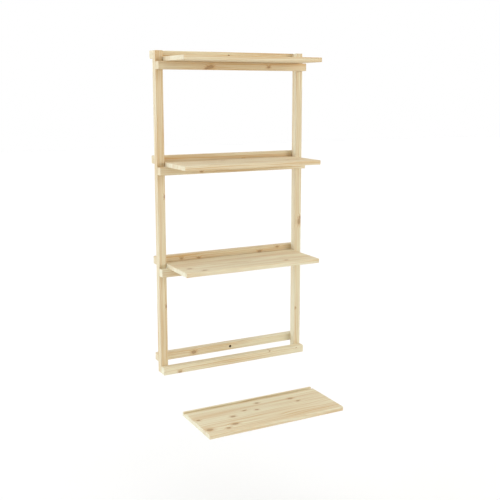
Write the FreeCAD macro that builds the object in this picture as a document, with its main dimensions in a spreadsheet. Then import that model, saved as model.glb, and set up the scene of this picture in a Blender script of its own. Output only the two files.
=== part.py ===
"""Wall shelf of solid pine: a frame of square bars screwed to a wall, and boards that hook into it.

Two uprights stand between four back rails, which lie against the wall, and four front rails.
Each board rests on a front rail and passes under a back rail. A groove across the board's top takes
the tongue of the back rail, and the lip behind the groove rises into the rail's rebate, so a board
can't slide out until its front is lifted. The rebate stops at the uprights and leaves the rail's ends
square. Three boards are in place and the fourth is taken out.

X runs along the wall, Y points into the wall and Z points up. The origin lies on the wall, midway
between the two wall screws. Sizes are in millimetres.
"""

import os

import FreeCAD
import Part
import Sketcher
from FreeCAD import Vector

SIZES = {
    # Frame of square bars
    "overall_width": 600.0,
    "frame_height": 1176.0,
    "bar_side": 28.0,
    "bar_chamfer": 1.0,
    # Boards and the clearances that they run with
    "shelf_thickness": 16.0,
    "shelf_overhang": 155.0,
    "shelf_chamfer": 1.2,
    "shelf_web": 9.4,
    "lip_width": 9.0,
    "seat_clearance": 0.3,
    "side_clearance": 1.0,
    # Tongue of the back rail, and its room in the board's groove
    "tongue_thickness": 10.0,
    "tongue_front_clearance": 4.0,
    "tongue_back_clearance": 1.6,
    "lip_top_clearance": 0.7,
    # How far the fourth board stands from its seat
    "loose_forward": 177.0,
    "loose_drop": 153.0,
    # Blunt countersunk furniture screws from behind, one where each rail crosses an upright
    "screw_length": 45.0,
    "screw_diameter": 5.0,
    "screw_head_diameter": 9.0,
    "screw_sink": 0.4,
    "screw_rise": 3.0,
    "hole_clearance": 0.2,
    "hole_extra_depth": 0.8,
    # Holes for pan-head wall screws, whose heads go in below the surface
    "wall_hole_diameter": 5.0,
    "wall_counterbore_diameter": 9.5,
    "wall_counterbore_depth": 14.0,
}
LEVELS = ("bottom", "lower", "upper", "top")
SEATED_LEVELS = ("lower", "upper", "top")
WALL_SCREW_LEVELS = ("bottom", "top")
COUNTERSINK_ANGLE = 90.0
FULL_TURN = 360.0

# Lengths worked out from the sheet, as expressions
BAR = "dims.bar_side"
WIDTH = "dims.overall_width"
INNER_WIDTH = "(dims.overall_width - 2 * dims.bar_side)"
SLOT_HEIGHT = "(dims.shelf_web + 2 * dims.seat_clearance)"
REBATE_HEIGHT = (
    "(dims.shelf_thickness - dims.shelf_web - dims.seat_clearance + dims.lip_top_clearance)"
)
BACK_RAIL_RISE = f"({BAR} + {SLOT_HEIGHT})"
# Distance from one level to the next
PITCH = f"((dims.frame_height - {BACK_RAIL_RISE} - {BAR}) / {len(LEVELS) - 1})"
# Height of the origin above the foot of the frame
ORIGIN_HEIGHT = f"({BACK_RAIL_RISE} + {BAR} / 2 + {len(LEVELS) - 1} * {PITCH} / 2)"
SHELF_WIDTH = f"({INNER_WIDTH} - 2 * dims.side_clearance)"
GROOVE_WIDTH = (
    "(dims.tongue_front_clearance + dims.tongue_thickness + dims.tongue_back_clearance)"
)
GROOVE_FRONT = f"(dims.shelf_overhang + 2 * {BAR} - dims.tongue_front_clearance)"
SHELF_DEPTH = f"({GROOVE_FRONT} + {GROOVE_WIDTH} + dims.lip_width)"
SCREW_GRIP = f"(dims.screw_length + dims.screw_sink - {BAR})"
SCREW_HOLE = "(dims.screw_diameter + dims.hole_clearance)"
SCREW_COUNTERSINK = "(dims.screw_head_diameter + 2 * dims.screw_sink + dims.hole_clearance)"
PILOT_DEPTH = f"({SCREW_GRIP} + dims.hole_extra_depth)"
SCREW_Z = f"({BAR} / 2 + dims.screw_rise)"
SCREW_X = f"({BAR} / 2)"

doc = FreeCAD.newDocument("wall_shelf")
sheet = doc.addObject("Spreadsheet::Sheet", "dims")
for row, (alias, size) in enumerate(SIZES.items(), start=1):
    sheet.set(f"A{row}", alias)
    sheet.set(f"B{row}", str(size))
    sheet.setAlias(f"B{row}", alias)
doc.recompute()


def value(expression):
    """The number that an expression of the sheet gives now."""
    return float(sheet.evalExpression(expression))


def place(thing, x, y, z):
    """Binds an object's place to three expressions."""
    for axis, expression in zip("xyz", (x, y, z)):
        thing.setExpression(f"Placement.Base.{axis}", expression)


def new_body(label):
    """An empty body, whose label names the piece."""
    body = doc.addObject("PartDesign::Body", label)
    body.Label = label
    return body


def new_sketch(body, role, offset=None):
    """A sketch on one of the body's own planes, moved along the plane's normal by an expression."""
    sketch = body.newObject("Sketcher::SketchObject", f"{body.Label}_sketch")
    planes = {feature.Role: feature for feature in body.Origin.OriginFeatures}
    sketch.AttachmentSupport = (planes[role], [""])
    sketch.MapMode = "FlatFace"
    if offset:
        sketch.setExpression("AttachmentOffset.Base.z", offset)
    return sketch


def bind_point(sketch, geometry, point, x, y):
    """Ties a point of the sketch to its two coordinates. A coordinate None lies on the axis."""
    for kind, expression, axis in (("DistanceX", x, -2), ("DistanceY", y, -1)):
        if expression is None:
            sketch.addConstraint(Sketcher.Constraint("PointOnObject", geometry, point, axis))
        else:
            fixed = Sketcher.Constraint(kind, -1, 1, geometry, point, value(expression))
            index = sketch.addConstraint(fixed)
            sketch.setExpression(f"Constraints[{index}]", expression)


def polygon(sketch, corners):
    """A closed outline whose corners are pairs of expressions."""
    points = [Vector(value(x or "0"), value(y or "0"), 0) for x, y in corners]
    lines = []
    for start, end in zip(points, points[1:] + points[:1]):
        lines.append(sketch.addGeometry(Part.LineSegment(start, end)))
    for line, following in zip(lines, lines[1:] + lines[:1]):
        sketch.addConstraint(Sketcher.Constraint("Coincident", line, 2, following, 1))
    for line, (x, y) in zip(lines, corners):
        bind_point(sketch, line, 1, x, y)


def rectangle(sketch, left, low, right, high):
    """An upright rectangle between two corners."""
    polygon(sketch, [(left, low), (right, low), (right, high), (left, high)])


def circles(sketch, centres, diameter):
    """Equal circles about centres that are pairs of expressions."""
    for x, y in centres:
        centre = Vector(value(x or "0"), value(y or "0"), 0)
        circle = Part.Circle(centre, Vector(0, 0, 1), value(diameter) / 2)
        geometry = sketch.addGeometry(circle)
        bind_point(sketch, geometry, 3, x, y)
        index = sketch.addConstraint(
            Sketcher.Constraint("Diameter", geometry, value(diameter))
        )
        sketch.setExpression(f"Constraints[{index}]", diameter)


def add(body, kind, profile):
    """A feature of the body on a sketch."""
    feature = body.newObject(f"PartDesign::{kind}", f"{body.Label}_{kind.lower()}")
    feature.Profile = profile
    return feature


def pad(body, profile, length):
    """Raises a sketch along its normal."""
    feature = add(body, "Pad", profile)
    feature.setExpression("Length", length)
    doc.recompute()
    return feature


def stock(body, role, width, height, length, chamfer):
    """A planed bar or board with all its sharp edges taken off."""
    sketch = new_sketch(body, role)
    rectangle(sketch, None, None, width, height)
    blank = pad(body, sketch, length)
    eased = body.newObject("PartDesign::Chamfer", f"{body.Label}_eased")
    eased.Base = (blank, [f"Edge{i + 1}" for i in range(len(blank.Shape.Edges))])
    eased.setExpression("Size", chamfer)
    doc.recompute()


def pocket(body, profile, depth=None, reverse=False):
    """Cuts a sketch to a depth, or right through."""
    feature = add(body, "Pocket", profile)
    feature.Reversed = reverse
    if depth:
        feature.setExpression("Length", depth)
    else:
        feature.Type = "ThroughAll"
    doc.recompute()
    return feature


def pilot_holes(body, centres):
    """Blind holes into the rear face of a bar, which take the screws' ends."""
    sketch = new_sketch(body, "XZ_Plane", f"-{BAR}")
    circles(sketch, centres, SCREW_HOLE)
    return pocket(body, sketch, PILOT_DEPTH, reverse=True)


def stepped_holes(body, centres, diameter, cut, cut_diameter, from_rear):
    """Through holes with a countersink or counterbore at the front or the rear face of a bar."""
    sketch = new_sketch(body, "XZ_Plane", f"-{BAR}" if from_rear else None)
    circles(sketch, centres, diameter)
    doc.recompute()
    feature = add(body, "Hole", sketch)
    doc.recompute()
    feature.Reversed = from_rear
    feature.DepthType = "ThroughAll"
    feature.HoleCutType = cut
    feature.HoleCutCustomValues = True
    feature.setExpression("Diameter", diameter)
    feature.setExpression("HoleCutDiameter", cut_diameter)
    return feature


def screw_holes(body, centres):
    """Countersunk holes from the rear face of a bar, for the screws that join it to the bar in front."""
    feature = stepped_holes(body, centres, SCREW_HOLE, "Countersink", SCREW_COUNTERSINK, True)
    feature.HoleCutCountersinkAngle = COUNTERSINK_ANGLE
    doc.recompute()
    return feature


def wall_screw_hole(body):
    """A counterbored hole in the middle of a rail."""
    middle = [(f"{WIDTH} / 2", f"{BAR} / 2")]
    hole, counterbore = "dims.wall_hole_diameter", "dims.wall_counterbore_diameter"
    feature = stepped_holes(body, middle, hole, "Counterbore", counterbore, False)
    feature.setExpression("HoleCutDepth", "dims.wall_counterbore_depth")
    doc.recompute()


def both_ends(x, z):
    """A point near a rail's left end, and its mirror image near the right end."""
    return [(x, z), (f"{WIDTH} - {x}", z)]


def upright(label, left):
    """A full-height bar, drilled at every level for a front rail and a back rail."""
    body = new_body(label)
    stock(body, "XY_Plane", BAR, BAR, "dims.frame_height", "dims.bar_chamfer")
    back_screw_z = f"{BACK_RAIL_RISE} + {SCREW_Z}"
    drilled = [
        screw_holes(body, [(SCREW_X, SCREW_Z)]),
        pilot_holes(body, [(SCREW_X, back_screw_z)]),
    ]
    levels = body.newObject("PartDesign::LinearPattern", f"{label}_levels")
    levels.Originals = drilled
    axes = {feature.Role: feature for feature in body.Origin.OriginFeatures}
    levels.Direction = (axes["Z_Axis"], [""])
    levels.Occurrences = len(LEVELS)
    levels.setExpression("Length", f"{len(LEVELS) - 1} * {PITCH}")
    body.Tip = levels
    place(body, left, f"-2 * {BAR}", f"-{ORIGIN_HEIGHT}")
    return body


def level_height(level):
    """Height of a level's front rail foot above the origin."""
    return f"{LEVELS.index(level)} * {PITCH} - {ORIGIN_HEIGHT}"


def back_rail(level):
    """A bar with a stopped rebate in its lower rear edge, which leaves the tongue in front of it."""
    body = new_body(f"{level}_back_rail")
    stock(body, "YZ_Plane", BAR, BAR, WIDTH, "dims.bar_chamfer")
    rebate = new_sketch(body, "YZ_Plane", BAR)
    rectangle(rebate, "dims.tongue_thickness", None, BAR, REBATE_HEIGHT)
    pocket(body, rebate, INNER_WIDTH, reverse=True)
    screw_holes(body, both_ends(SCREW_X, SCREW_Z))
    if level in WALL_SCREW_LEVELS:
        wall_screw_hole(body)
    place(body, f"-{WIDTH} / 2", f"-{BAR}", f"{level_height(level)} + {BACK_RAIL_RISE}")
    return body


def front_rail(level):
    """A plain bar, drilled from behind so that no fastener shows."""
    body = new_body(f"{level}_front_rail")
    stock(body, "YZ_Plane", BAR, BAR, WIDTH, "dims.bar_chamfer")
    pilot_holes(body, both_ends(SCREW_X, SCREW_Z))
    place(body, f"-{WIDTH} / 2", f"-3 * {BAR}", level_height(level))
    return body


def shelf(label, level, forward="0", drop="0"):
    """A board with a groove for the rail's tongue and a lip behind it."""
    body = new_body(label)
    stock(body, "YZ_Plane", SHELF_DEPTH, "dims.shelf_thickness", SHELF_WIDTH, "dims.shelf_chamfer")
    groove = new_sketch(body, "YZ_Plane")
    groove_rear = f"{GROOVE_FRONT} + {GROOVE_WIDTH}"
    rectangle(groove, GROOVE_FRONT, "dims.shelf_web", groove_rear, "dims.shelf_thickness")
    pocket(body, groove, reverse=True)
    front = f"-3 * {BAR} - dims.shelf_overhang - {forward}"
    foot = f"{level_height(level)} + {BAR} + dims.seat_clearance - {drop}"
    place(body, f"-{SHELF_WIDTH} / 2", front, foot)
    return body


def furniture_screw():
    """A countersunk screw along Y, from its blunt end to the top of its head."""
    body = new_body("screw_pattern")
    sketch = new_sketch(body, "XY_Plane")
    neck = "dims.screw_length - (dims.screw_head_diameter - dims.screw_diameter) / 2"
    shank = "dims.screw_diameter / 2"
    polygon(
        sketch,
        [
            (None, None),
            (shank, None),
            (shank, neck),
            ("dims.screw_head_diameter / 2", "dims.screw_length"),
            (None, "dims.screw_length"),
        ],
    )
    turned = add(body, "Revolution", sketch)
    turned.ReferenceAxis = (sketch, ["V_Axis"])
    turned.Angle = FULL_TURN
    doc.recompute()
    return body


def screw_pair(level, layer, screw, rear, foot):
    """The two screws that hold one rail. Rear is the face that they enter."""
    label = f"{level}_{layer}_rail_screws"
    copies = []
    for side, sign in (("left", "-"), ("right", "")):
        copy = doc.addObject("App::Link", f"{label}_{side}")
        copy.LinkedObject = screw
        end = f"{rear} - dims.screw_sink - dims.screw_length"
        place(copy, f"{sign}({WIDTH} / 2 - {SCREW_X})", end, f"{foot} + {SCREW_Z}")
        copies.append(copy)
    pair = doc.addObject("Part::Compound", label)
    pair.Label = label
    pair.Links = copies
    return pair


def check(pieces):
    """Stops at an object that failed to build, or a piece with no sound solid."""
    for thing in doc.Objects:
        if {"Invalid", "Error"} & set(thing.State):
            raise RuntimeError(f"{thing.Label} failed: {thing.State}")
    for piece in pieces:
        if piece.Shape.isNull() or not piece.Shape.isValid() or not piece.Shape.Solids:
            raise RuntimeError(f"{piece.Label} has no sound solid")


def main():
    pieces = [
        upright("left_upright", f"-{WIDTH} / 2"),
        upright("right_upright", f"{WIDTH} / 2 - {BAR}"),
    ]
    screw = furniture_screw()
    for level in LEVELS:
        foot = level_height(level)
        pieces += [
            back_rail(level),
            front_rail(level),
            screw_pair(level, "back", screw, "0", f"{foot} + {BACK_RAIL_RISE}"),
            screw_pair(level, "front", screw, f"-{BAR}", foot),
        ]
    for level in SEATED_LEVELS:
        pieces.append(shelf(f"{level}_shelf", level))
    pieces.append(shelf("loose_shelf", "bottom", "dims.loose_forward", "dims.loose_drop"))
    doc.recompute()
    check(pieces)
    os.makedirs("parts", exist_ok=True)
    for piece in pieces:
        piece.Shape.exportStep(f"parts/{piece.Label}.step")
        print(piece.Label, len(piece.Shape.Solids), round(piece.Shape.Volume, 1))


main()
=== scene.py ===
"""Looks of a pine wall shelf: planed pine bars, edge-glued boards, zinc-plated screws and a plain stage.

Lengths are in metres in the model's own frame: X along the wall, Y into the wall and Z up.
Patterns in the wood are laid out in millimetres from the middle of each piece.
"""

import math

import bmesh
import bpy
from bpy.props import FloatProperty, FloatVectorProperty, IntProperty, PointerProperty
from bpy.types import Operator, Panel, PropertyGroup
from mathutils import Matrix, Vector


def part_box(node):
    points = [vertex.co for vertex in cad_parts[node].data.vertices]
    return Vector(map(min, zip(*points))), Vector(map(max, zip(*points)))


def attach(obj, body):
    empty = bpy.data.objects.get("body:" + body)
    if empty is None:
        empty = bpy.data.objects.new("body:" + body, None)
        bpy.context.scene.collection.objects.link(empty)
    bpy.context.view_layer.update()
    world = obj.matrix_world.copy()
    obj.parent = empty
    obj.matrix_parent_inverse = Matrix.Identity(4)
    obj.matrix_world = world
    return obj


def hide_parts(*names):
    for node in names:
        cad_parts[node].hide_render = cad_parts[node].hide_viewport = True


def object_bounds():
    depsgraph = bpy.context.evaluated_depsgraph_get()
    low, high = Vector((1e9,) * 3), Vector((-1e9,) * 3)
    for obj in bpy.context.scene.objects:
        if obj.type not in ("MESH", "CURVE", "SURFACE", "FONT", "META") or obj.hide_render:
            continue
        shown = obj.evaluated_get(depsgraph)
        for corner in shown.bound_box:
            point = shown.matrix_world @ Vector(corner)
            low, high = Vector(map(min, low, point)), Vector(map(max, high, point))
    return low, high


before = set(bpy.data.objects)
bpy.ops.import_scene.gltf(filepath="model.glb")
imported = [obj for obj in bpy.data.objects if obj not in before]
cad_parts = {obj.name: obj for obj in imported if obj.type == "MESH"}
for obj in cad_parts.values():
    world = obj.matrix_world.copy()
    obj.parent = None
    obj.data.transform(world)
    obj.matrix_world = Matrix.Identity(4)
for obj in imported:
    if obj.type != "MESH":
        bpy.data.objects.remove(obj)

bl_info = {
    "name": "Pine wall shelf",
    "version": (1, 0, 0),
    "blender": (4, 5, 0),
    "location": "View3D > Sidebar > Wall shelf",
    "description": "Finishes the parts of a pine wall shelf and sets them on a plain stage",
    "category": "Object",
}

CAD_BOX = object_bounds()
MM = 1000.0
X, Y, Z = Vector((1, 0, 0)), Vector((0, 1, 0)), Vector((0, 0, 1))
WHITE = (1, 1, 1, 1)

BOARDS = [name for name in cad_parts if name.endswith("_shelf")]
SCREWS = [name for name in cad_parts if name.endswith("_screws")]
BARS = [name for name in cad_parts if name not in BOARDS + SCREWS]
# Rails with a hole for a wall screw in the middle
BORED = ("top_back_rail", "bottom_back_rail")
# Strips that a board is glued up from
STAVES = 4

# Tone of each piece at its left or lower end and at the other end,
# from about -1 for the palest pine to about 1 for the warmest
TONES = {
    "left_upright": (0.6, 0.85),
    "right_upright": (0.05, 0.15),
    "top_back_rail": (0.6, 0.3),
    "top_front_rail": (0.9, 1.1),
    "upper_back_rail": (0.95, 0.55),
    "upper_front_rail": (0.9, 0.5),
    "lower_back_rail": (0.85, 0.2),
    "lower_front_rail": (-0.25, 0.0),
    # The warm left end of the bottom back rail is partly its tone and partly painted shade from the left
    # upright beside it
    "bottom_back_rail": (0.85, -0.7),
    "bottom_front_rail": (-0.1, -0.3),
    "top_shelf": (0.6, 0.9),
    "upper_shelf": (0.5, 0.7),
    "lower_shelf": (0.3, 0.5),
    "loose_shelf": (0.0, 0.25),
}
# Knots of each piece: how far along and across from the middle of its face, and the radius, in millimetres
KNOTS = {
    "left_upright": [(-333, 11, 3), (73, 12, 3)],
    "right_upright": [(-60, 6, 5.5), (-44, 9, 3.5), (-410, -6, 2)],
    "top_back_rail": [(-60, -9, 3)],
    "top_front_rail": [(-118, -9, 3), (-108, -6, 4.5), (-98, -3, 5), (137, -2, 3.5)],
    "upper_back_rail": [(60, -12, 3)],
    "upper_front_rail": [(-140, -6, 2.5), (215, 9, 3)],
    "lower_back_rail": [(-200, 0, 2.8), (-130, -4, 2.8), (130, -3, 3.8), (209, 8, 3)],
    "lower_front_rail": [(80, 3, 4)],
    "bottom_back_rail": [(-155, 0, 5)],
    "bottom_front_rail": [(-236, -9.5, 3.4), (146, 12, 1.4), (268, 8, 1.2)],
    "top_shelf": [(-150, 40, 5), (90, -60, 4), (210, 75, 4)],
    "upper_shelf": [(-60, 30, 4.5), (170, -45, 4)],
    "lower_shelf": [(-231, -50, 4.5), (-193, -97, 4.5), (148, -79, 4)],
    "loose_shelf": [
        (-251, -74, 6.5),
        (-129, -9, 4.5),
        (-151, -70, 6),
        (-187, -90, 4),
        (-69, 21, 3.5),
        (5, 62, 4),
        (-24, 7, 3.5),
        (138, 43, 5),
        (152, 10, 3.5),
        (-253, 16, 3.5),
    ],
}

# Bends of the stem in millimetres: how long each is, how wide, and how far it goes.
# The first takes the heart from side to side, and the second makes the rings wavy over a hand's breadth.
STEM_BENDS = ((420.0, 160.0, 26.0), (110.0, 22.0, 3.0))
# Length and width of the fibres, and of broader streaks of pale and warm wood, in millimetres
FIBRE_SIZE = (90.0, 1.8)
STREAK_SIZE = (380.0, 14.0)
# How often the darkness of the lines changes, to a ring
RING_UNEVEN = 0.6
# How far rings, fibres, streaks and tone take the wood from earlywood, at 0, to latewood, at 1
RING_SHADE = 0.75
FIBRE_SHADE = 0.5
STREAK_SHADE = 1.7
TONE_SHADE = 0.35
# Share of the pattern that is lost where a piece is sawn across
END_BLUR = 0.6
# How far apart in tone the staves of one board may be
STAVE_VARIETY = 0.6

# How dark a knot is, and its width as a share of its length along the grain
KNOT_STRENGTH = 0.75
KNOT_STRETCH = 0.6
# How far the edge of a knot frays in millimetres, and how many frays there are to a millimetre
KNOT_FRAY = 4.0
FRAY_SCALE = 0.12
# Rings that a knot pushes aside at its middle, and how fast that dies away with the square of the distance
KNOT_SWELL = 1.8
SWELL_DECAY = 0.25

# Where a piece is cut from the log, in millimetres: the step along the log from one piece to the next,
# how high above the heart it lies, and how far its place varies to the side and in height
LOG_STEP = 700
ABOVE_HEART = 34
PIECE_VARIES = (18, 12)
# How far the logs of a board's staves differ, along the log, to the side and in height
STAVE_VARIES = (900, 90, 40)

# Roughness of earlywood, and how much smoother latewood is
PINE_ROUGHNESS = 0.7
LATEWOOD_SMOOTHER = 0.14
# Height of the fibres, as a share of that of the latewood lines, and strength of both
FIBRE_RELIEF = 0.6
RELIEF_STRENGTH = 0.6

# Lamps: how far each is turned to the left of straight on, how high it stands and how wide it is, in degrees
LAMPS = {
    "key_light": (100, 8, 70),
    "fill_light": (-42, 3, 32),
    "top_light": (0, 78, 80),
    "back_light": (150, 20, 60),
}
# How far the floor goes from the middle to each side, in metres
FLOOR_REACH = 20.0

# Places of the two colours and of the result among the sockets of a Mix node
COLOUR_A, COLOUR_B, COLOUR_RESULT = 6, 7, 2


def linear(code):
    """A linear colour with alpha from an sRGB hex value."""
    channels = [int(code[i : i + 2], 16) / 255 for i in (1, 3, 5)]
    return [*(c / 12.92 if c <= 0.04045 else ((c + 0.055) / 1.055) ** 2.4 for c in channels), 1.0]


class PineSettings(PropertyGroup):
    """Colours and grain of the pine."""

    earlywood: FloatVectorProperty(
        name="Earlywood",
        description="Pale wood that grows in spring, most of each ring",
        subtype="COLOR",
        size=4,
        min=0,
        max=1,
        default=linear("#E5DAB9"),
    )
    latewood: FloatVectorProperty(
        name="Latewood",
        description="Denser, darker line at the outside of each ring",
        subtype="COLOR",
        size=4,
        min=0,
        max=1,
        default=linear("#C89B5C"),
    )
    knot_heart: FloatVectorProperty(
        name="Knot heart",
        description="Brown heart of a knot",
        subtype="COLOR",
        size=4,
        min=0,
        max=1,
        default=linear("#A98053"),
    )
    knot_rim: FloatVectorProperty(
        name="Knot rim",
        description="Dark line around a knot",
        subtype="COLOR",
        size=4,
        min=0,
        max=1,
        default=linear("#86603A"),
    )
    knot_halo: FloatVectorProperty(
        name="Knot halo",
        description="Warm, resinous wood around a knot",
        subtype="COLOR",
        size=4,
        min=0,
        max=1,
        default=linear("#BC8A50"),
    )
    # Painted shade: a dark colour painted inside the wall screw holes and their counterbores in place of the
    # shadow in these recesses, and the widths it is painted to
    hole_shade_colour: FloatVectorProperty(
        name="Bored wood",
        description="Wood inside a wall screw hole, darkened by the drill",
        subtype="COLOR",
        size=4,
        min=0,
        max=1,
        default=linear("#6B4A2C"),
    )
    hole_width: FloatProperty(
        name="Hole width",
        description="Diameter of the darkened wood at the rear of a wall screw hole, just over the hole's",
        default=0.0052,
        unit="LENGTH",
    )
    bore_width: FloatProperty(
        name="Bore width",
        description="Diameter of the darkened wood in its counterbore, just over the counterbore's",
        default=0.0098,
        unit="LENGTH",
    )
    ring_width: FloatProperty(
        name="Ring width",
        description="Distance between growth rings, about twice as coarse as real ones so that they show",
        default=0.006,
        min=0.001,
        unit="LENGTH",
    )
    stave_width: FloatProperty(
        name="Stave width",
        description="Width of the strips that a board is glued up from",
        default=0.058,
        min=0.01,
        unit="LENGTH",
    )
    relief: FloatProperty(
        name="Relief",
        description="How far the hard latewood stands proud of the planed face",
        default=0.0001,
        unit="LENGTH",
    )


class ScrewSettings(PropertyGroup):
    """Finish and drive of the screws."""

    zinc: FloatVectorProperty(
        name="Zinc plating",
        description="Colour of the plated steel",
        subtype="COLOR",
        size=4,
        min=0,
        max=1,
        default=linear("#C9CBC8"),
    )
    socket_width: FloatProperty(
        name="Socket width",
        description="Distance across the flats of the hexagon socket",
        default=0.004,
        unit="LENGTH",
    )
    socket_depth: FloatProperty(
        name="Socket depth",
        description="Depth of the hexagon socket",
        default=0.0022,
        unit="LENGTH",
    )
    shank_width: FloatProperty(
        name="Shank width",
        description="Diameter of the screw below its head",
        default=0.005,
        unit="LENGTH",
    )
    land: FloatProperty(
        name="Land",
        description="Height of the upright rim around the head, and its rounded edge",
        default=0.0003,
        unit="LENGTH",
    )
    cuts_per_flat: IntProperty(
        name="Cuts per flat",
        description="Points that divide each side of the hexagon, which set the facets of the round parts",
        default=7,
        min=1,
    )


class StageSettings(PropertyGroup):
    """Camera, floor and lights."""

    camera_place: FloatVectorProperty(
        name="Camera place",
        description="Where the camera stands",
        subtype="TRANSLATION",
        unit="LENGTH",
        default=(-1.3467, -2.7411, 0.4294),
    )
    camera_turn: FloatProperty(
        name="Camera turn",
        description="Angle by which the camera looks to the right of straight on",
        subtype="ANGLE",
        default=math.radians(27.869),
    )
    camera_dip: FloatProperty(
        name="Camera dip",
        description="Angle by which the camera looks down",
        subtype="ANGLE",
        default=math.radians(9.806),
    )
    lens: FloatProperty(
        name="Lens",
        description="Focal length in millimetres",
        default=58.01,
        unit="CAMERA",
    )
    shift: FloatProperty(
        name="Shift",
        description="Upward shift of the frame, as a share of its width",
        default=-0.04,
    )
    floor_drop: FloatProperty(
        name="Floor drop",
        description="How far the floor lies below the lowest board",
        default=0.52,
        unit="LENGTH",
    )
    floor_colour: FloatVectorProperty(
        name="Floor colour",
        description="Colour of the studio floor",
        subtype="COLOR",
        size=4,
        min=0,
        max=1,
        default=linear("#F1EEE9"),
    )
    floor_glow: FloatProperty(
        name="Floor glow",
        description="Light that the floor adds for the camera, so that it is just white outside the shadow",
        default=0.15,
    )
    world_light: FloatProperty(
        name="World light",
        description="Strength of the even light from all around",
        default=0.32,
    )
    key_light: FloatProperty(
        name="Key light",
        description="Strength of the soft light from the left",
        default=3.1,
    )
    key_colour: FloatVectorProperty(
        name="Key colour",
        description="Cool colour of the light from the left, as of a north window",
        subtype="COLOR",
        size=4,
        min=0,
        max=1,
        default=linear("#CFE4FF"),
    )
    fill_light: FloatProperty(
        name="Fill light",
        description="Strength of the soft light from the right front",
        default=1.6,
    )
    top_light: FloatProperty(
        name="Top light",
        description="Strength of the soft light from above",
        default=1.42,
    )
    back_light: FloatProperty(
        name="Back light",
        description="Strength of the soft light from behind",
        default=0.6,
    )


class ShelfSettings(PropertyGroup):
    """All that a user would change."""

    pine: PointerProperty(type=PineSettings)
    screw: PointerProperty(type=ScrewSettings)
    stage: PointerProperty(type=StageSettings)


def add(tree, kind, inputs=None, stops=(), **settings):
    """Adds a shader node, sets its properties and colour stops, and fills or links its inputs."""
    added = tree.nodes.new(f"ShaderNode{kind}")
    for name, setting in settings.items():
        setattr(added, name, setting)
    for index, (place, colour) in enumerate(stops):
        elements = added.color_ramp.elements
        stop = elements[index] if index < 2 else elements.new(place)
        stop.position, stop.color = place, colour
    for socket, content in (inputs or {}).items():
        if isinstance(content, bpy.types.NodeSocket):
            tree.links.new(content, added.inputs[socket])
        else:
            added.inputs[socket].default_value = content
    return added


def new_material(name):
    """An empty node material and its output."""
    material = bpy.data.materials.new(name)
    material.use_nodes = True
    material.node_tree.nodes.clear()
    return material, add(material.node_tree, "OutputMaterial")


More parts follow.
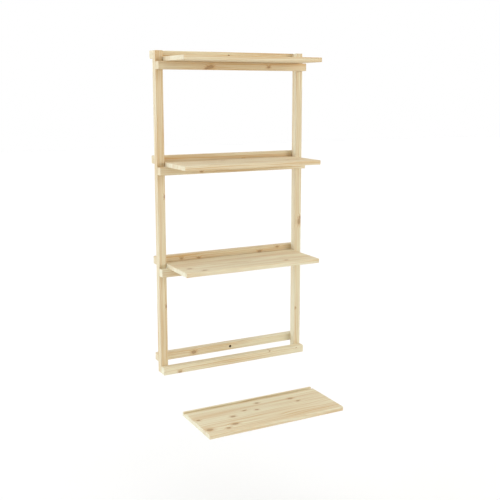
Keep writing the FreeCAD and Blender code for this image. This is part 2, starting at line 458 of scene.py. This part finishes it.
def pine_grain(settings):
    """Node group that cuts a piece out of a pine log: colour, roughness and relief at a place in the log.

    The log's heart runs along X. A knot comes in as the distance from it in knot radii.
    """
    group = bpy.data.node_groups.new("pine_grain", "ShaderNodeTree")
    group.interface.new_socket("Log", in_out="INPUT", socket_type="NodeSocketVector")
    for name in ("Knot", "End", "Tone"):
        group.interface.new_socket(name, in_out="INPUT", socket_type="NodeSocketFloat")
    results = {"Colour": "NodeSocketColor", "Roughness": "NodeSocketFloat", "Relief": "NodeSocketFloat"}
    for name, kind in results.items():
        group.interface.new_socket(name, in_out="OUTPUT", socket_type=kind)
    enter = group.nodes.new("NodeGroupInput")
    leave = group.nodes.new("NodeGroupOutput")
    log, knot = enter.outputs["Log"], enter.outputs["Knot"]

    # Distance from the heart of a stem that isn't straight
    place = log
    for along, across, amount in STEM_BENDS:
        scale = Vector((1 / along, 1 / across, 1 / across))
        scaled = add(group, "VectorMath", {0: log, 1: scale}, operation="MULTIPLY")
        bend = add(group, "TexNoise", {"Vector": scaled.outputs[0], "Scale": 1.0, "Detail": 2.0})
        moved = add(
            group,
            "VectorMath",
            {0: bend.outputs["Color"], 1: (0, amount, amount), 2: place},
            operation="MULTIPLY_ADD",
        )
        place = moved.outputs[0]
    sideways = add(group, "VectorMath", {0: place, 1: (0, 1, 1)}, operation="MULTIPLY")
    distance = add(group, "VectorMath", {0: sideways.outputs[0]}, operation="LENGTH")

    # Growth rings, which part around a knot. Each darkens slowly and ends sharply, and some are paler.
    squared = add(group, "Math", {0: knot, 1: knot}, operation="MULTIPLY")
    decay = add(group, "Math", {0: squared.outputs[0], 1: -SWELL_DECAY}, operation="MULTIPLY")
    swell = add(group, "Math", {0: math.e, 1: decay.outputs[0]}, operation="POWER")
    rings = add(
        group,
        "Math",
        {0: distance.outputs["Value"], 1: 1 / (settings.ring_width * MM)},
        operation="MULTIPLY",
    )
    phase = add(
        group,
        "Math",
        {0: swell.outputs[0], 1: KNOT_SWELL, 2: rings.outputs[0]},
        operation="MULTIPLY_ADD",
    )
    part = add(group, "Math", {0: phase.outputs[0]}, operation="FRACT")
    dark, mid, pale = WHITE, (0.3, 0.3, 0.3, 1), (0, 0, 0, 1)
    ring = add(
        group,
        "ValToRGB",
        {0: part.outputs[0]},
        stops=((0.0, pale), (1.0, pale), (0.5, mid), (0.82, dark), (0.93, dark)),
    )
    uneven = add(
        group,
        "TexNoise",
        {"W": phase.outputs[0], "Scale": RING_UNEVEN, "Detail": 1.0},
        noise_dimensions="1D",
    )
    lines = add(group, "Math", {0: ring.outputs["Color"], 1: uneven.outputs[0]}, operation="MULTIPLY")
    shade = add(group, "Math", {0: lines.outputs[0], 1: RING_SHADE}, operation="MULTIPLY")

    # Long fibres and broader streaks, as far above nothing as below it
    centred = []
    for (along, across), share in ((FIBRE_SIZE, FIBRE_SHADE), (STREAK_SIZE, STREAK_SHADE)):
        scale = Vector((1 / along, 1 / across, 1 / across))
        scaled = add(group, "VectorMath", {0: log, 1: scale}, operation="MULTIPLY")
        noise = add(group, "TexNoise", {"Vector": scaled.outputs[0], "Scale": 1.0, "Detail": 3.0})
        centred.append(add(group, "Math", {0: noise.outputs[0], 1: -0.5}, operation="ADD"))
        shade = add(
            group,
            "Math",
            {0: centred[-1].outputs[0], 1: share, 2: shade.outputs[0]},
            operation="MULTIPLY_ADD",
        )
    fibres = centred[0]

    # Rings blur into each other where the piece is sawn across, and the tone goes on top
    clear = add(group, "Math", {0: enter.outputs["End"], 1: -END_BLUR, 2: 1.0}, operation="MULTIPLY_ADD")
    shade = add(group, "Math", {0: shade.outputs[0], 1: clear.outputs[0]}, operation="MULTIPLY")
    shade = add(
        group,
        "Math",
        {0: enter.outputs["Tone"], 1: TONE_SHADE, 2: shade.outputs[0]},
        operation="MULTIPLY_ADD",
    )
    wood = add(
        group,
        "Mix",
        {"Factor": shade.outputs[0], COLOUR_A: settings.earlywood, COLOUR_B: settings.latewood},
        data_type="RGBA",
    )

    # Brown heart, dark rim and a warm halo that fades out at three radii
    heart, rim, halo = list(settings.knot_heart), list(settings.knot_rim), list(settings.knot_halo)[:3]
    third = add(group, "Math", {0: knot, 1: 1 / 3}, operation="MULTIPLY", use_clamp=True)
    knotted = add(
        group,
        "ValToRGB",
        {0: third.outputs[0]},
        stops=(
            (0.0, rim),
            (1.0, halo + [0.0]),
            (0.1, heart),
            (0.22, heart),
            (0.3, rim),
            (0.38, halo + [0.8]),
            (0.55, halo + [0.38]),
        ),
    )
    strength = add(group, "Math", {0: knotted.outputs["Alpha"], 1: KNOT_STRENGTH}, operation="MULTIPLY")
    coloured = add(
        group,
        "Mix",
        {
            "Factor": strength.outputs[0],
            COLOUR_A: wood.outputs[COLOUR_RESULT],
            COLOUR_B: knotted.outputs["Color"],
        },
        data_type="RGBA",
    )
    rough = add(
        group,
        "Math",
        {0: shade.outputs[0], 1: -LATEWOOD_SMOOTHER, 2: PINE_ROUGHNESS},
        operation="MULTIPLY_ADD",
    )
    relief = add(
        group,
        "Math",
        {0: fibres.outputs[0], 1: FIBRE_RELIEF, 2: ring.outputs["Color"]},
        operation="MULTIPLY_ADD",
    )
    group.links.new(coloured.outputs[COLOUR_RESULT], leave.inputs["Colour"])
    group.links.new(rough.outputs[0], leave.inputs["Roughness"])
    group.links.new(relief.outputs[0], leave.inputs["Relief"])
    return group


def nearest_knot(tree, name, piece, along_axis, across_axis):
    """Distance from a piece's nearest knot in knot radii.

    Branches cross the piece square to its face, as frayed ovals drawn out along the grain.
    """
    fray = Vector((KNOT_FRAY, KNOT_FRAY, KNOT_FRAY))
    waves = add(tree, "TexNoise", {"Vector": piece, "Scale": FRAY_SCALE, "Detail": 2.0})
    frayed = add(
        tree,
        "VectorMath",
        {0: waves.outputs["Color"], 1: fray, 2: piece},
        operation="MULTIPLY_ADD",
    )
    nearest = None
    for along, across, radius in KNOTS[name]:
        centre = along * along_axis + across * across_axis + fray / 2
        spread = (KNOT_STRETCH * along_axis + across_axis) / radius
        offset = add(
            tree,
            "VectorMath",
            {0: frayed.outputs[0], 1: spread, 2: -centre * spread},
            operation="MULTIPLY_ADD",
        )
        reach = add(tree, "VectorMath", {0: offset.outputs[0]}, operation="LENGTH").outputs["Value"]
        if nearest is not None:
            reach = add(tree, "Math", {0: nearest, 1: reach}, operation="MINIMUM").outputs[0]
        nearest = reach
    return nearest


def paint_hole_shade(tree, piece, depth, colour, settings):
    """Paints shade into a wall screw hole and its counterbore, which is as deep as half the rail: a dark
    colour standing in for the shadow in these recesses.
    """
    just_past_middle = 0.5
    radial = add(tree, "VectorMath", {0: piece, 1: (1, 0, 1)}, operation="MULTIPLY")
    radius = add(tree, "VectorMath", {0: radial.outputs[0]}, operation="LENGTH")
    front = add(tree, "Math", {0: depth, 1: just_past_middle}, operation="LESS_THAN")
    hole, bore = settings.hole_width / 2 * MM, settings.bore_width / 2 * MM
    edge = add(tree, "Math", {0: front.outputs[0], 1: bore - hole, 2: hole}, operation="MULTIPLY_ADD")
    inside = add(tree, "Math", {0: radius.outputs["Value"], 1: edge.outputs[0]}, operation="LESS_THAN")
    hole_shaded = add(
        tree,
        "Mix",
        {"Factor": inside.outputs[0], COLOUR_A: colour, COLOUR_B: settings.hole_shade_colour},
        data_type="RGBA",
    )
    return hole_shaded.outputs[COLOUR_RESULT]


def planed_pine(name, settings):
    """Planed pine under a thin matt lacquer: pale, with warm growth lines along the piece and brown knots."""
    low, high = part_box(name)
    middle = (low + high) / 2 * MM
    length_mm = max(high - low) * MM
    board = name in BOARDS
    upright = high.z - low.z > high.x - low.x
    lengthways = "Z" if upright else "X"
    seed = sorted(KNOTS).index(name)
    material, out = new_material(f"planed_pine_{name}")
    tree = material.node_tree
    coords = add(tree, "TexCoord")
    centred = add(
        tree,
        "Mapping",
        {"Vector": coords.outputs["Object"], "Location": -middle, "Scale": (MM, MM, MM)},
    )
    piece = centred.outputs[0]
    parts = add(tree, "SeparateXYZ", {0: piece})

    # Each piece is cut from a stretch of log of its own, and each stave of a board from another log
    side, height = PIECE_VARIES
    turned = add(
        tree,
        "Mapping",
        {
            "Vector": piece,
            "Rotation": (0, math.radians(90) if upright else 0, 0),
            "Location": (
                LOG_STEP * seed,
                side * math.sin(2 * seed),
                ABOVE_HEART + height * math.cos(3 * seed),
            ),
        },
    )
    # Logs are numbered so that the staves of one board don't meet those of the next
    log_number = 10 * seed
    if board:
        stave = add(
            tree,
            "Math",
            {0: parts.outputs["Y"], 1: 1 / (settings.stave_width * MM), 2: log_number + STAVES / 2},
            operation="MULTIPLY_ADD",
        )
        log_number = add(tree, "Math", {0: stave.outputs[0]}, operation="FLOOR").outputs[0]
    chance = add(tree, "TexWhiteNoise", {"W": log_number}, noise_dimensions="1D")
    log = add(
        tree,
        "VectorMath",
        {0: chance.outputs["Color"], 1: STAVE_VARIES, 2: turned.outputs[0]},
        operation="MULTIPLY_ADD",
    )

    # The tone drifts from one end to the other, and from stave to stave
    first, last = TONES[name]
    variety = STAVE_VARIETY if board else 0.0
    drift = add(
        tree,
        "Math",
        {0: parts.outputs[lengthways], 1: (last - first) / length_mm, 2: (first + last - variety) / 2},
        operation="MULTIPLY_ADD",
    )
    tone = add(
        tree,
        "Math",
        {0: chance.outputs["Value"], 1: variety, 2: drift.outputs[0]},
        operation="MULTIPLY_ADD",
    )
    facing = add(tree, "SeparateXYZ", {0: coords.outputs["Normal"]})
    sawn = add(tree, "Math", {0: facing.outputs[lengthways]}, operation="ABSOLUTE")
    along_axis, across_axis = (X, Y) if board else (Z, X) if upright else (X, Z)
    grain = add(
        tree,
        "Group",
        {
            "Log": log.outputs[0],
            "Knot": nearest_knot(tree, name, piece, along_axis, across_axis),
            "End": sawn.outputs[0],
            "Tone": tone.outputs[0],
        },
        node_tree=bpy.data.node_groups.get("pine_grain") or pine_grain(settings),
    )
    colour = grain.outputs["Colour"]
    # Painted shade inside the wall screw hole and its counterbore
    if name in BORED:
        colour = paint_hole_shade(tree, piece, parts.outputs["Y"], colour, settings)
    bump = add(
        tree,
        "Bump",
        {"Height": grain.outputs["Relief"], "Strength": RELIEF_STRENGTH, "Distance": settings.relief},
    )
    shader = add(
        tree,
        "BsdfPrincipled",
        {
            "Base Color": colour,
            "Roughness": grain.outputs["Roughness"],
            "IOR": 1.5,
            "Specular IOR Level": 0.35,
            "Coat Weight": 0.05,
            "Coat Roughness": 0.5,
            "Normal": bump.outputs[0],
        },
    )
    tree.links.new(shader.outputs[0], out.inputs["Surface"])
    return material


def zinc_plated_steel(settings):
    """Bright zinc on steel: a cool silver-grey, a little cloudy where the plating is passivated."""
    cloud_mm = 1.5
    bright, cloudy = 0.22, 0.47
    material, out = new_material("zinc_plated_steel")
    tree = material.node_tree
    coords = add(tree, "TexCoord")
    clouds = add(
        tree,
        "TexNoise",
        {"Vector": coords.outputs["Object"], "Scale": MM / cloud_mm, "Detail": 3.0},
    )
    rough = add(tree, "Math", {0: clouds.outputs[0], 1: cloudy - bright, 2: bright}, operation="MULTIPLY_ADD")
    shader = add(
        tree,
        "BsdfPrincipled",
        {"Base Color": settings.zinc, "Metallic": 1.0, "Roughness": rough.outputs[0]},
    )
    tree.links.new(shader.outputs[0], out.inputs["Surface"])
    return material


def dress(name, material):
    """Gives a node of the frame one material all over."""
    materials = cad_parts[name].data.materials
    materials.clear()
    materials.append(material)


class WALLSHELF_OT_bars(Operator):
    """Finish the uprights and rails in planed pine"""

    bl_idname = "wallshelf.bars"
    bl_label = "Finish the bars"

    def execute(self, context):
        for name in BARS:
            dress(name, planed_pine(name, context.scene.wall_shelf.pine))
        return {"FINISHED"}


class WALLSHELF_OT_boards(Operator):
    """Finish the boards in pine that is glued up from staves"""

    bl_idname = "wallshelf.boards"
    bl_label = "Finish the boards"

    def execute(self, context):
        for name in BOARDS:
            dress(name, planed_pine(name, context.scene.wall_shelf.pine))
        return {"FINISHED"}


def grow(form, edges, move):
    """Extrudes a ring of edges, moves each new point and returns the new ring."""
    grown = bmesh.ops.extrude_edge_only(form, edges=edges)["geom"]
    points = [part for part in grown if isinstance(part, bmesh.types.BMVert)]
    for point in points:
        point.co = move(point.co)
    return [edge for edge in form.edges if edge.verts[0] in points and edge.verts[1] in points]


def socket_screw(settings, head_radius, length):
    """A countersunk screw with a hexagon socket, its head's top at the origin and its end down along Z."""
    form = bmesh.new()
    flats = 6
    bmesh.ops.create_circle(form, segments=flats, radius=settings.socket_width / math.sqrt(3))
    bmesh.ops.subdivide_edges(form, edges=form.edges[:], cuts=settings.cuts_per_flat)
    mouth = form.edges[:]
    grow(form, mouth, lambda point: point - Vector((0, 0, settings.socket_depth)))
    # Over the head and its neck, and down the shank to the blunt end
    shank, land = settings.shank_width / 2, settings.land
    outline = (
        (head_radius - land, 0),
        (head_radius, land),
        (head_radius, 2 * land),
        (shank, 2 * land + head_radius - shank),
        (shank, length - shank / 2),
        (shank / 2, length),
    )
    ring = mouth
    for radius, depth in outline:
        ring = grow(form, ring, lambda point: Vector((*(point.xy.normalized() * radius), -depth)))
    bmesh.ops.holes_fill(form, edges=[edge for edge in form.edges if edge.is_boundary], sides=0)
    bmesh.ops.recalc_face_normals(form, faces=form.faces)
    mesh = bpy.data.meshes.new("socket_screw")
    form.to_mesh(mesh)
    form.free()
    return mesh


class WALLSHELF_OT_screws(Operator):
    """Put a screw with a hexagon socket in place of each plain one, in zinc-plated steel"""

    bl_idname = "wallshelf.screws"
    bl_label = "Make the screws"

    def execute(self, context):
        settings = context.scene.wall_shelf.screw
        material = zinc_plated_steel(settings)
        turn = Matrix.Rotation(math.radians(-90), 4, "X")
        sharp = math.radians(30)
        for node in SCREWS:
            low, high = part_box(node)
            head_radius = (high.z - low.z) / 2
            form = bmesh.new()
            for x in (low.x + head_radius, high.x - head_radius):
                placed = socket_screw(settings, head_radius, high.y - low.y)
                placed.transform(Matrix.Translation((x, high.y, (low.z + high.z) / 2)) @ turn)
                form.from_mesh(placed)
                bpy.data.meshes.remove(placed)
            mesh = bpy.data.meshes.new(node.replace("_screws", "_socket_screws"))
            form.to_mesh(mesh)
            form.free()
            mesh.shade_smooth()
            mesh.set_sharp_from_angle(angle=sharp)
            mesh.materials.append(material)
            screws = bpy.data.objects.new(mesh.name, mesh)
            context.scene.collection.objects.link(screws)
            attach(screws, "frame")
            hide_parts(node)
        return {"FINISHED"}


def seen_directly(tree):
    """Share of the rays that see the stage itself, and not its light on the object."""
    path = add(tree, "LightPath")
    rays = path.outputs["Is Camera Ray"]
    for kind in ("Is Glossy Ray", "Is Transmission Ray"):
        rays = add(tree, "Math", {0: rays, 1: path.outputs[kind]}, operation="ADD", use_clamp=True).outputs[0]
    return rays


class WALLSHELF_OT_stage(Operator):
    """Set up the camera, a pale floor and soft studio light"""

    bl_idname = "wallshelf.stage"
    bl_label = "Set the stage"

    def execute(self, context):
        settings = context.scene.wall_shelf.stage
        scene = context.scene
        scene.view_settings.view_transform = "Standard"
        self.add_camera(scene, settings)
        self.add_floor(scene, settings)
        lamps = {name: self.add_light(scene, name, getattr(settings, name), *LAMPS[name]) for name in LAMPS}
        lamps["key_light"].color = settings.key_colour[:3]
        self.add_world(scene, settings)
        return {"FINISHED"}

    def add_camera(self, scene, settings):
        """The camera that took the photograph, dipped a little so that less shift is needed."""
        camera = bpy.data.objects.new("photo_camera", bpy.data.cameras.new("photo_camera"))
        camera.data.lens = settings.lens
        camera.data.shift_y = settings.shift
        camera.location = settings.camera_place
        camera.rotation_euler = (math.radians(90) - settings.camera_dip, 0, -settings.camera_turn)
        scene.collection.objects.link(camera)
        scene.camera = camera

    def add_floor(self, scene, settings):
        """A pale, matt studio floor under the object, which keeps its shadow."""
        mesh = bpy.data.meshes.new("studio_floor")
        level = Matrix.Translation((0, 0, CAD_BOX[0][2] - settings.floor_drop))
        form = bmesh.new()
        bmesh.ops.create_grid(form, x_segments=1, y_segments=1, size=FLOOR_REACH, matrix=level)
        form.to_mesh(mesh)
        form.free()
        floor = bpy.data.objects.new("studio_floor", mesh)
        scene.collection.objects.link(floor)
        material, out = new_material("pale_studio_floor")
        tree = material.node_tree
        matt = add(tree, "BsdfDiffuse", {"Color": settings.floor_colour})
        share = add(tree, "Math", {0: seen_directly(tree), 1: settings.floor_glow}, operation="MULTIPLY")
        glow = add(tree, "Emission", {"Color": WHITE, "Strength": share.outputs[0]})
        both = add(tree, "AddShader", {0: matt.outputs[0], 1: glow.outputs[0]})
        tree.links.new(both.outputs[0], out.inputs["Surface"])
        mesh.materials.append(material)

    def add_light(self, scene, name, strength, turn, height, softness):
        """A soft lamp from far away, turned to the left of straight on and raised, in degrees."""
        lamp = bpy.data.lights.new(name, "SUN")
        lamp.energy = strength
        lamp.angle = math.radians(softness)
        light = bpy.data.objects.new(name, lamp)
        light.rotation_euler = (math.radians(90 - height), 0, math.radians(-turn))
        scene.collection.objects.link(light)
        return lamp

    def add_world(self, scene, settings):
        """Even light from all around, and white where it is seen directly."""
        world = bpy.data.worlds.new("studio_world")
        world.use_nodes = True
        tree = world.node_tree
        tree.nodes.clear()
        soft = add(tree, "Background", {"Color": WHITE, "Strength": settings.world_light})
        white = add(tree, "Background", {"Color": WHITE, "Strength": 1.0})
        mixed = add(tree, "MixShader", {0: seen_directly(tree), 1: soft.outputs[0], 2: white.outputs[0]})
        out = add(tree, "OutputWorld")
        tree.links.new(mixed.outputs[0], out.inputs["Surface"])
        scene.world = world


class WALLSHELF_PT_sidebar(Panel):
    """Lists the pieces and their settings"""

    bl_label = "Wall shelf"
    bl_idname = "WALLSHELF_PT_sidebar"
    bl_space_type = "VIEW_3D"
    bl_region_type = "UI"
    bl_category = "Wall shelf"

    def draw(self, context):
        settings = context.scene.wall_shelf
        for operator, group in (
            ("wallshelf.bars", settings.pine),
            ("wallshelf.boards", None),
            ("wallshelf.screws", settings.screw),
            ("wallshelf.stage", settings.stage),
        ):
            box = self.layout.box()
            box.operator(operator)
            for name in group.__annotations__ if group else ():
                box.prop(group, name)


CLASSES = (
    PineSettings,
    ScrewSettings,
    StageSettings,
    ShelfSettings,
    WALLSHELF_OT_bars,
    WALLSHELF_OT_boards,
    WALLSHELF_OT_screws,
    WALLSHELF_OT_stage,
    WALLSHELF_PT_sidebar,
)


def register():
    for added in CLASSES:
        bpy.utils.register_class(added)
    bpy.types.Scene.wall_shelf = PointerProperty(type=ShelfSettings)


def unregister():
    del bpy.types.Scene.wall_shelf
    for added in reversed(CLASSES):
        bpy.utils.unregister_class(added)


def main():
    register()
    bpy.ops.wallshelf.bars()
    bpy.ops.wallshelf.boards()
    bpy.ops.wallshelf.screws()
    bpy.ops.wallshelf.stage()


if __name__ == "__main__":
    main()
